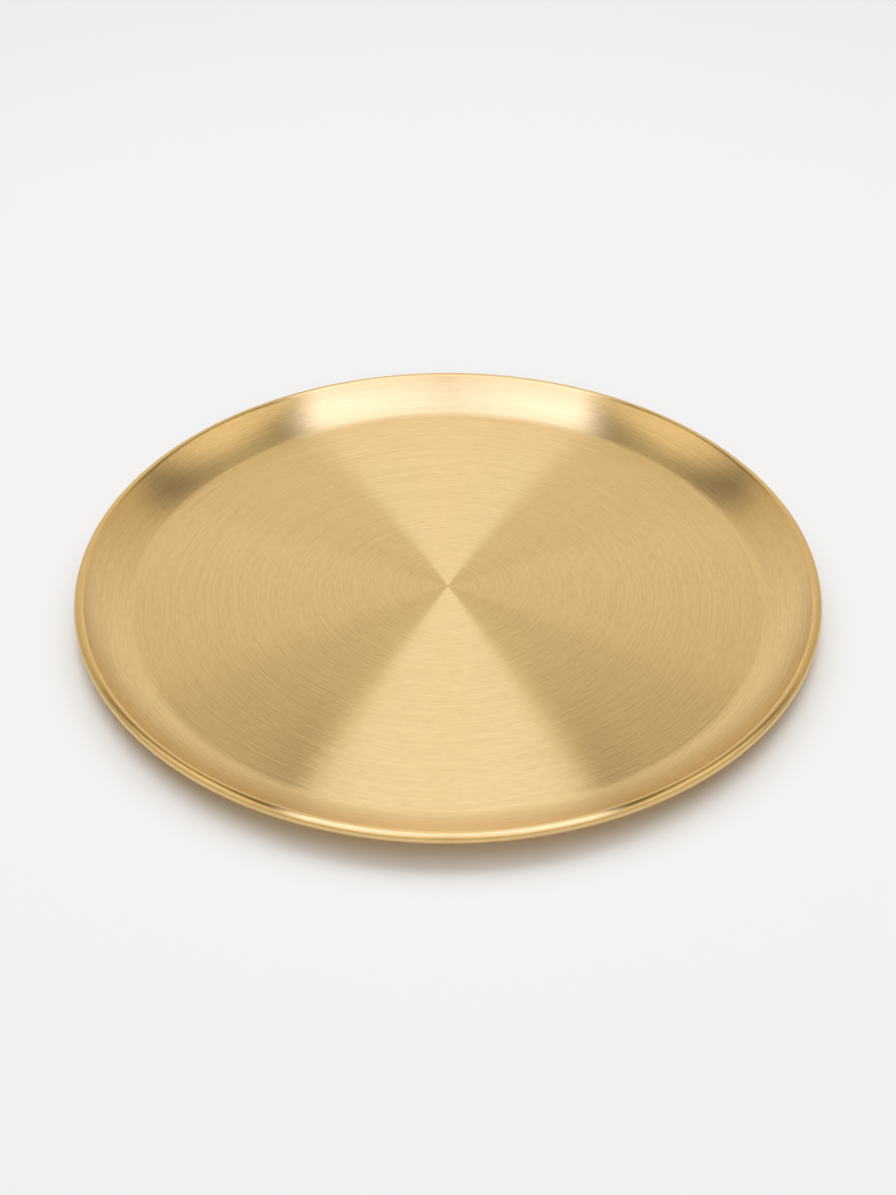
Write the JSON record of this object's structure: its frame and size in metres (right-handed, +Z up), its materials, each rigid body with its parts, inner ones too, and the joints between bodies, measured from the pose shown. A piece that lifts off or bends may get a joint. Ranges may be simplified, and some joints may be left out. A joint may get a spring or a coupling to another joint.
{
  "type": "serving plate",
  "caption": "Round brushed brass serving plate with a flat floor, a low flaring wall and an edge rolled outwards over a stiffening wire hoop.",
  "frame": {"origin": "on the table, under the centre of the plate", "axes": "+Z up along the plate's axis, out of the well; +X and +Y lie in the table, with the hoop's hidden butt on +X"},
  "size_m": [0.3, 0.3, 0.012],
  "materials": {
    "brushed_brass": "brushed in fine circles, satin",
    "drawn_brass": "bright drawn wire"
  },
  "bodies": {
    "root": {"dish": "brushed_brass", "rim_wire": "drawn_brass"}
  },
  "joints": []
}
